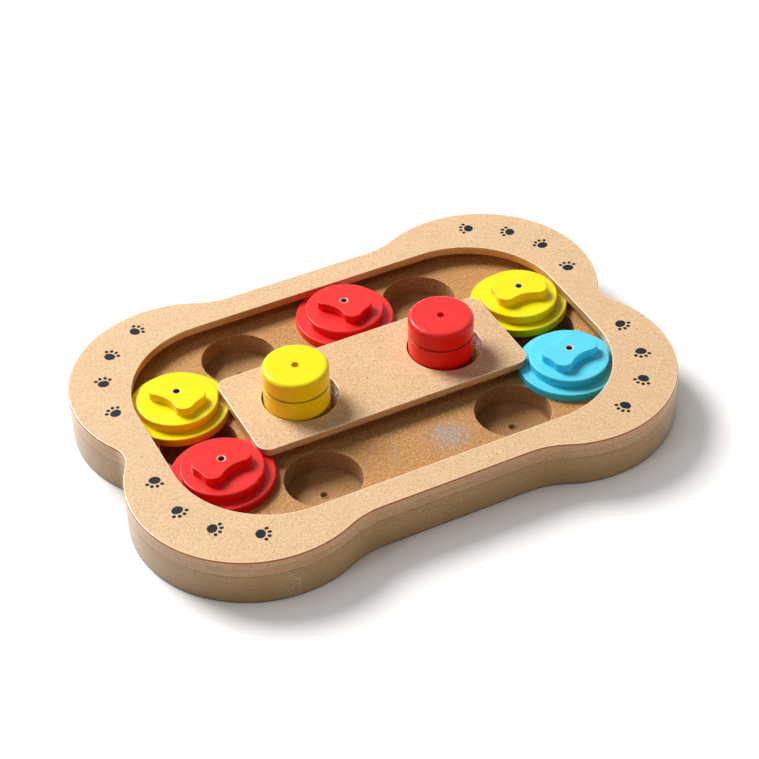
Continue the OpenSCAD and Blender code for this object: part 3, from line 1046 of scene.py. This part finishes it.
@dataclass
class BaseBoard:
    """Thick base with the track's floor and eight bored wells."""
    finishes: Finishes
    well_r: float = 20.0
    pit_r: float = 1.8
    pit_depth: float = 1.6
    row: Point = (54.0, 52.25)
    end_x: float = 98.9
    peg_x: float = 42.0

    def well_places(self) -> list[Point]:
        """Two long rows, one well at each end, and one under each peg."""
        rows = [(sx * self.row[0], sy * self.row[1]) for sx in (-1, 1) for sy in (-1, 1)]
        return rows + [(sx * x, 0.0) for x in (self.end_x, self.peg_x) for sx in (-1, 1)]

    def well_section(self) -> list[Stop]:
        """From the track down the wall, over the tool's ring groove to the pit's point."""
        floor, top = LEVELS.well_floor, LEVELS.track
        to_pit = -(self.well_r - self.pit_r)
        return eased([
            Corner(0.3, top), Corner(0.0, top, 0.14), Corner(0.0, floor, 0.35, -1.0),
            Corner(-0.9, floor, 0.15, -0.6), Corner(-1.1, floor + 0.18, 0.15, 0.2),
            Corner(-1.3, floor, 0.15, 0.0), Corner(to_pit + 1.0, floor, 0.2, 0.0),
            Corner(to_pit + 0.45, floor + 0.45, 0.15, 0.0, 1.0),
            # bare marks the ring round the pit, painted pale as a highlight, and the pit, painted
            # dark as shade.
            Corner(to_pit, floor, 0.15, 0.0, 1.6),
            Corner(to_pit - 0.4, floor - self.pit_depth, 0.2, 0.0, 2.0),
            Corner(-self.well_r + 0.05, floor - self.pit_depth, 0.0, 0.0, 2.0)], 3, 0.2)

    def build(self) -> None:
        """Lofts the outside, bores the wells and fills the faces."""
        shaper = Shaper()
        outside = eased([Corner(2.0, 0.0), Corner(0.0, 0.0, 0.7), Corner(0.0, LEVELS.track,
                         0.12, -0.8), Corner(2.0, LEVELS.track)])
        low, high = shaper.wall(LobedPlan.board(), outside, 1)
        rims = [high]
        for place in self.well_places():
            rim, point = shaper.wall(RoundPlan(place, self.well_r), self.well_section(), 2,
                                     hole=True)
            rims.append(rim)
            shaper.bm.faces.new(point).material_index = 2
        shaper.fill(rims, 0)
        shaper.fill([low], 1)
        piece = shaper.piece("base_board_piece", [self.finishes.track, self.finishes.side,
                                                  self.finishes.well])
        place_piece(piece, "board", "base_layer", "base_board")


@dataclass
class Sheet:
    """A sheet of the board with straight sides and eased corners, cut through by holes."""
    name: str
    node: str
    slot: str
    plan: Plan
    holes: list[Plan]
    low: float
    high: float
    low_r: float
    high_r: float
    hole_r: float
    joint: float = -0.8

    def section(self, top_r: float, low_edge: float) -> list[Stop]:
        """A side of the sheet, from its underside up to its face."""
        return eased([Corner(1.6, self.low), Corner(0.0, self.low, self.low_r, low_edge),
                      Corner(0.0, self.high, top_r), Corner(1.6, self.high)], hold=0.5)

    def build(self, finishes: Finishes) -> None:
        """Lofts the sides, fills both faces and places the piece."""
        outer = isinstance(self.plan, LobedPlan)
        face = finishes.band
        if self.slot == "top_layer":
            face = finishes.top if outer else finishes.plate
        rim = finishes.band if self.slot == "top_layer" else finishes.core
        side = rim if outer else finishes.lip
        inner = finishes.lip if outer else finishes.hole
        shaper = Shaper()
        rings = [shaper.wall(self.plan, self.section(self.high_r, self.joint), 1,
                             cap=self.high - 0.25 * self.high_r)]
        rings += [shaper.wall(hole, self.section(self.hole_r, 0.0), 2, hole=True,
                              cap=self.high - 0.7 * self.hole_r) for hole in self.holes]
        shaper.fill([ring[0] for ring in rings], 0)
        shaper.fill([ring[1] for ring in rings], 0)
        piece = shaper.piece(self.name, [face, side, inner])
        place_piece(piece, "board", self.slot, self.node)


def board_sheets() -> list[Sheet]:
    """The spacer, the cover, the bar and the centre plate."""
    board, opening = LobedPlan.board(), RoundedPlan(243, 153.5, 52.5, 36)
    cavity = RoundedPlan(255, 165.5, 58.5, 36)
    peg_holes = [RoundPlan((side * 42.0, 0.0), 20.0, 96) for side in (-1, 1)]
    return [
        Sheet("spacer_piece", "spacer_frame", "middle_layer", board, [cavity],
              LEVELS.track, LEVELS.cover, 0.14, 0.08, 0.12),
        Sheet("cover_piece", "cover_frame", "top_layer", board, [opening],
              LEVELS.cover, LEVELS.top, 0.08, 0.6, 0.3, -0.3),
        Sheet("bar_piece", "spacer_bar", "middle_layer", RoundedPlan(142, 48.6, 4, 12),
              peg_holes, LEVELS.track, LEVELS.cover, 0.2, 0.2, 0.2),
        Sheet("plate_piece", "centre_plate", "top_layer", RoundedPlan(154.4, 61, 7, 16),
              peg_holes, LEVELS.cover, LEVELS.top, 0.35, 0.35, 0.2, -1.0)]


@dataclass
class PawPrints:
    """Sixteen stamped paw prints in four curved rows, one on each lobe."""
    finishes: Finishes
    pad: Point = (3.0, 2.75)
    toe: Point = (0.96, 1.1)
    toe_reach: float = 4.7
    thickness: float = 0.03
    sink: float = 0.01
    places: tuple[tuple[float, float, float], ...] = (
        (101.0, 85.0, 156.0), (120.2, 71.2, 142.0), (130.4, 51.9, 102.5), (132.5, 27.45, 69.5))
    shift: Point = (1.25, 1.9)
    skew: float = -0.85

    def print_mesh(self) -> bpy.types.Mesh:
        """One print: a pad with a flatter heel and four toes, as thin closed films of ink."""
        shaper = Shaper()
        shapes = [[(self.pad[1] * math.cos(a) * (1.0 if math.cos(a) > 0 else 0.86),
                    self.pad[0] * math.sin(a) * (1.0 + 0.1 * math.cos(a)))
                   for a in (math.tau * k / 28 for k in range(28))]]
        for turn in (-51, -17, 17, 51):
            way = math.radians(turn)
            middle = Vector((math.cos(way), math.sin(way))) * self.toe_reach
            spin = Matrix.Rotation(way, 2)
            shapes.append([tuple(middle + spin @ Vector((self.toe[1] * math.cos(a),
                                                         self.toe[0] * math.sin(a))))
                           for a in (math.tau * k / 16 for k in range(16))])
        for shape in shapes:
            low, high = ([shaper.bm.verts.new((x, y, z)) for x, y in shape]
                         for z in (-self.sink, self.thickness - self.sink))
            for i in range(len(shape)):
                j = (i + 1) % len(shape)
                shaper.bm.faces.new((low[i], low[j], high[j], high[i]))
            shaper.bm.faces.new(high)
            shaper.bm.faces.new(list(reversed(low)))
        shaper.bm.transform(Matrix.Scale(MM, 4))
        mesh = bpy.data.meshes.new("paw_print")
        shaper.bm.to_mesh(mesh)
        shaper.bm.free()
        return mesh

    def points(self) -> bpy.types.Mesh:
        """The sixteen places, each with its turn and how faded it is."""
        spots, turns, fades = [], [], []
        swing = Matrix.Rotation(math.radians(self.skew), 2)
        for sx, sy in ((-1, 1), (-1, -1), (1, 1), (1, -1)):
            for step, (x, y, turn) in enumerate(self.places):
                spot = swing @ Vector((sx * x, sy * y)) + Vector(self.shift)
                spots.append((spot.x * MM, spot.y * MM, LEVELS.top * MM))
                facing = turn if sx > 0 else 180 - turn
                turns.append(math.radians((facing if sy > 0 else -facing) + self.skew))
                fades.append(0.22 if sx > 0 and sy > 0 else 0.05 + 0.04 * step)
        mesh = bpy.data.meshes.new("paw_places")
        mesh.from_pydata(spots, [], [])
        for name, values in (("turn", turns), ("fade", fades)):
            data = mesh.attributes.new(name, "FLOAT", "POINT").data
            for item, value in zip(data, values):
                item.value = value
        return mesh

    def build(self, stamp: Stamp) -> None:
        """Stamps the prints on the cover."""
        one = added("paw_print", self.print_mesh())
        piece = stamp.bake(self.points(), "paw_prints", {"Print": one, "Size": 1.0,
                                                         "Finish": self.finishes.ink},
                           smooth=False)
        bpy.data.objects.remove(one)
        place_piece(piece, "board", "top_layer")


# ---------------------------------------------------------------------------------------------
# Sliders and pegs


@dataclass
class Slider:
    """A slider: a wide flange on the track, a disc on it, and a bone-shaped knob on top."""
    name: str
    tone: Tone
    at: Point
    turn: float
    disc_r: float = 21.1
    flange_r: float = 26.5
    disc_z: float = 22.5
    knob_top: float = 32.5
    bore_r: float = 2.0
    edge_r: float = 0.8

    def disc_section(self, r: float, low: float, high: float) -> list[Stop]:
        """Half section of a disc, from the bore's foot round the outside and back up to it."""
        return eased([
            Corner(self.bore_r, low, bare=2.0), Corner(r, low, 0.3, 0.0),
            Corner(r, high, self.edge_r), Corner(self.bore_r + 1.6, high),
            Corner(self.bore_r, high, bare=1.0), Corner(self.bore_r, high - 0.3, bare=2.0),
            Corner(self.bore_r, low, bare=2.0)])

    def knob(self, finish: bpy.types.Material) -> bpy.types.Object:
        """The knob with its bore, whose top edge is a little eased."""
        shaper = Shaper()
        move = Matrix.Translation((*self.at, 0)) @ Matrix.Rotation(math.radians(self.turn), 4,
                                                                   "Z")
        foot = LEVELS.top
        side = eased([Corner(1.2, foot), Corner(0.0, foot, 0.12, 0.0),
                      Corner(0.0, self.knob_top, 0.45), Corner(1.2, self.knob_top)], 4, 0.25)
        bore = [Stop(0.4, foot, bare=2.0), Stop(0.0, foot, bare=2.0),
                Stop(0.0, self.knob_top - 0.9, bare=2.0),
                Stop(-0.2, self.knob_top - 0.5, 0.0, 1.3),
                Stop(-0.3, self.knob_top - 0.2, 0.0, 1.0), Stop(-0.1, self.knob_top, 0.0, 0.9),
                Stop(0.25, self.knob_top, 0.0, 0.66), Stop(0.7, self.knob_top, 0.0, 0.1),
                Stop(1.5, self.knob_top, 0.0, 0.0)]
        rings = [shaper.wall(LobedPlan.knob(), side, 0, False, move),
                 shaper.wall(RoundPlan((0, 0), self.bore_r, 40), bore, 0, True, move)]
        shaper.fill([ring[0] for ring in rings])
        shaper.fill([ring[1] for ring in rings])
        return shaper.piece(f"{self.name}_knob_piece", [finish])

    def build(self, lathe: Lathe, finishes: Finishes) -> None:
        """Turns the flange and the disc, shapes the knob and places all three."""
        finish, slot = finishes.paints[self.tone], f"{self.tone.word}_paint"
        for part, r, low, high, body in (
                ("flange", self.flange_r, LEVELS.track, self.disc_z, "slider"),
                ("disc", self.disc_r, self.disc_z + 0.02, LEVELS.top, "grip")):
            piece = lathe.turn(f"{self.name}_{part}_piece", self.disc_section(r, low, high),
                               self.at, finish)
            place_piece(piece, f"{self.name}_{body}", slot, f"{self.name}_{part}")
        place_piece(self.knob(finish), f"{self.name}_grip", slot, f"{self.name}_knob")


def sliders() -> list[Slider]:
    """The five sliders where the photographed toy has them."""
    return [Slider("yellow_left", Tone.YELLOW, (-98.7117, 27.6), -64.5),
            Slider("red_left", Tone.RED, (-98.3991, -29.7), 17.3),
            Slider("red_far", Tone.RED, (9.6, 54.15), -63.5),
            Slider("yellow_right", Tone.YELLOW, (98.9, 20.8), -7.0),
            Slider("blue_right", Tone.BLUE, (95.9979, -37.1), 15.8)]


@dataclass
class Peg:
    """Turned peg with a rounded top, a groove round it and a hole in its top."""
    name: str
    tone: Tone
    at: Point
    r: float = 17.2
    height: float = 43.3
    top_r: float = 2.3
    groove_drop: float = 10.9
    groove_w: float = 1.4
    groove_depth: float = 1.0
    bore_r: float = 1.9
    bore_depth: float = 14.0

    def section(self) -> list[Stop]:
        """Half section from the middle of the foot to the bottom of the top's hole."""
        foot, top = LEVELS.well_floor, LEVELS.well_floor + self.height
        groove = top - self.groove_drop
        low, high = groove - self.groove_w / 2, groove + self.groove_w / 2
        inner = self.r - self.groove_depth
        return eased([
            Corner(0.0, foot), Corner(self.r, foot, 0.6, 0.4), Corner(self.r, low, 0.25, 0.5),
            Corner(inner, low, 0.3, -1.0), Corner(inner, high, 0.3, -1.0),
            Corner(self.r, high, 0.25, 0.5), Corner(self.r, top, self.top_r),
            Corner(self.bore_r, top, 0.25, 0.6), Corner(self.bore_r, top - self.bore_depth,
                                                        0.2, -1.0),
            Corner(0.0, top - self.bore_depth)], 5, 0.3)

    def build(self, lathe: Lathe, finishes: Finishes) -> None:
        """Turns the peg and places it."""
        piece = lathe.turn(f"{self.name}_piece", self.section(), self.at,
                           finishes.paints[self.tone], 128)
        place_piece(piece, self.name, f"{self.tone.word}_paint", self.name)


def pegs() -> list[Peg]:
    """The two pegs where they stand in their wells."""
    return [Peg("yellow_peg", Tone.YELLOW, (-44.2092, -0.9378)),
            Peg("red_peg", Tone.RED, (39.6179, -0.2925))]


# ---------------------------------------------------------------------------------------------
# The studio


@dataclass(frozen=True)
class Lamp:
    """A round lamp that shines at the object, from a distance and with a size in metres.

    Its azimuth runs from +X towards +Y and its elevation up from the table, both in degrees.
    A fill that doesn't shine leaves no glare on glossy faces.
    """
    name: str
    azimuth: float
    elevation: float
    energy: float
    distance: float
    size: float
    shines: bool = True

    def hang(self) -> None:
        """Adds the lamp to the scene."""
        data = bpy.data.lights.new(self.name, "AREA")
        data.energy, data.shape, data.size = self.energy, "DISK", self.size
        az, el = math.radians(self.azimuth), math.radians(self.elevation)
        way = Vector((math.cos(az) * math.cos(el), math.sin(az) * math.cos(el), math.sin(el)))
        lamp = added(self.name, data)
        lamp.visible_glossy = self.shines
        lamp.matrix_world = Matrix.Translation(way * self.distance) \
            @ way.to_track_quat("Z", "Y").to_matrix().to_4x4()


@dataclass(frozen=True)
class Studio:
    """Pale floor, soft plain light and the photograph's viewpoint.

    The viewpoint is in millimetres and degrees, and the floor in metres. The floor's own glow
    is near_glow beside the object, less where the object is within shadow_reach, and grows to
    white between glow_start and glow_end.
    """
    azimuth: float = -25.86
    elevation: float = 40.75
    roll: float = -1.43
    distance: float = 1047.02
    target: tuple[float, float, float] = (13.46, 20.65, 0.0)
    focal_px: float = 1942.55
    frame_px: float = 759.0
    lamps: tuple[Lamp, ...] = (Lamp("key", 113, 44, 138.0, 3.2, 1.5),
                               Lamp("front_fill", -48, 6, 22.0, 3.0, 0.6, False),
                               Lamp("left_sparkle", 188, 40, 1.6, 1.6, 0.15))
    floor_reach: float = 4.0
    shadow_reach: float = 0.08
    near_glow: float = 0.36
    glow_start: float = 0.4
    glow_end: float = 1.0

    def camera(self) -> None:
        """Stands the camera where the photograph was taken from."""
        az, el, roll = (math.radians(v) for v in (self.azimuth, self.elevation, self.roll))
        back = Vector((math.sin(az) * math.cos(el), -math.cos(az) * math.cos(el),
                       math.sin(el)))
        right = Vector((math.cos(az), math.sin(az), 0.0))
        up = back.cross(right)
        across = right * math.cos(roll) + up * math.sin(roll)
        upward = up * math.cos(roll) - right * math.sin(roll)
        data = bpy.data.cameras.new("viewpoint")
        data.sensor_width = 36.0
        data.lens = self.focal_px / self.frame_px * data.sensor_width
        data.clip_start, data.clip_end = 0.05, 50.0
        camera = added("viewpoint", data)
        turned = Matrix((across, upward, back)).transposed().to_4x4()
        place = (Vector(self.target) + back * self.distance) * MM
        camera.matrix_world = Matrix.Translation(place) @ turned
        bpy.context.scene.camera = camera

    @staticmethod
    def seen_directly(wiring: Wiring) -> bpy.types.NodeSocket:
        """1 for rays that reach the eye straight, by a reflection or through glass."""
        path = wiring.node("ShaderNodeLightPath").outputs
        return wiring.math("MAXIMUM", path["Is Camera Ray"], wiring.math(
            "MAXIMUM", path["Is Glossy Ray"], path["Is Transmission Ray"]))

    def light(self) -> None:
        """Lights the scene from behind on the left, with weak fills and a low pale sky."""
        for lamp in self.lamps:
            lamp.hang()
        world = bpy.data.worlds.new("studio_air")
        wiring = emptied(world)
        towards = wiring.node("ShaderNodeVectorMath", {
            0: wiring.node("ShaderNodeTexCoord").outputs["Generated"],
            1: (-0.25, 0.45, -0.85)}, operation="DOT_PRODUCT").outputs["Value"]
        glow = wiring.ramp(towards, -0.85, 0.05, 0.05, 0.34)
        direct = self.seen_directly(wiring)
        level = wiring.math("ADD", direct, wiring.math(
            "MULTIPLY", glow, wiring.math("SUBTRACT", 1.0, direct)))
        air = wiring.node("ShaderNodeBackground", {0: (1.0, 1.0, 1.0, 1.0), 1: level})
        wiring.node("ShaderNodeOutputWorld", {0: air.outputs[0]})
        bpy.context.scene.world = world

    def floor(self) -> None:
        """Lays the pale floor, which keeps the object's shadow and turns white further out."""
        mesh = bpy.data.meshes.new("floor")
        reach = self.floor_reach
        mesh.from_pydata([(-reach, -reach, 0), (reach, -reach, 0), (reach, reach, 0),
                          (-reach, reach, 0)], [], [(0, 1, 2, 3)])
        material = bpy.data.materials.new("pale_floor")
        wiring = emptied(material)
        direct = self.seen_directly(wiring)
        tint = wiring.mix(direct, (0.7, 0.69, 0.68), (0.82, 0.81, 0.795))
        matt = wiring.node("ShaderNodeBsdfDiffuse", {0: tint})
        out_there = wiring.length(wiring.node("ShaderNodeTexCoord").outputs["Object"])
        open_air = wiring.node("ShaderNodeAmbientOcclusion", {"Distance": self.shadow_reach},
                               samples=8).outputs["AO"]
        open_air = wiring.math("POWER", wiring.math("MULTIPLY_ADD", open_air, 1.89, -0.89,
                                                    clamp=True), 0.6)
        glow = wiring.math("MAXIMUM", wiring.math("MULTIPLY", open_air, self.near_glow),
                           wiring.ramp(out_there, self.glow_start, self.glow_end))
        paler = wiring.node("ShaderNodeEmission", {0: (1.0, 0.99, 0.975, 1.0),
                                                   1: wiring.math("MULTIPLY", direct, glow)})
        both = wiring.node("ShaderNodeAddShader", {0: matt.outputs[0], 1: paler.outputs[0]})
        wiring.node("ShaderNodeOutputMaterial", {0: both.outputs[0]})
        mesh.materials.append(material)
        added("floor", mesh)

    def build(self) -> None:
        """Sets the view transform and makes camera, light and floor."""
        bpy.context.scene.view_settings.view_transform = "Standard"
        self.camera()
        self.light()
        self.floor()
        log.info("studio: camera, lamps and floor")


def main() -> None:
    """Builds the studio, the finishes and then every piece in order."""
    logging.basicConfig(level=logging.INFO, format="%(name)s: %(message)s")
    Studio().build()
    finishes = Finishes()
    BaseBoard(finishes).build()
    for sheet in board_sheets():
        sheet.build(finishes)
    PawPrints(finishes).build(Stamp())
    lathe = Lathe()
    for slider in sliders():
        slider.build(lathe, finishes)
    for peg in pegs():
        peg.build(lathe, finishes)


if __name__ == "__main__":
    main()
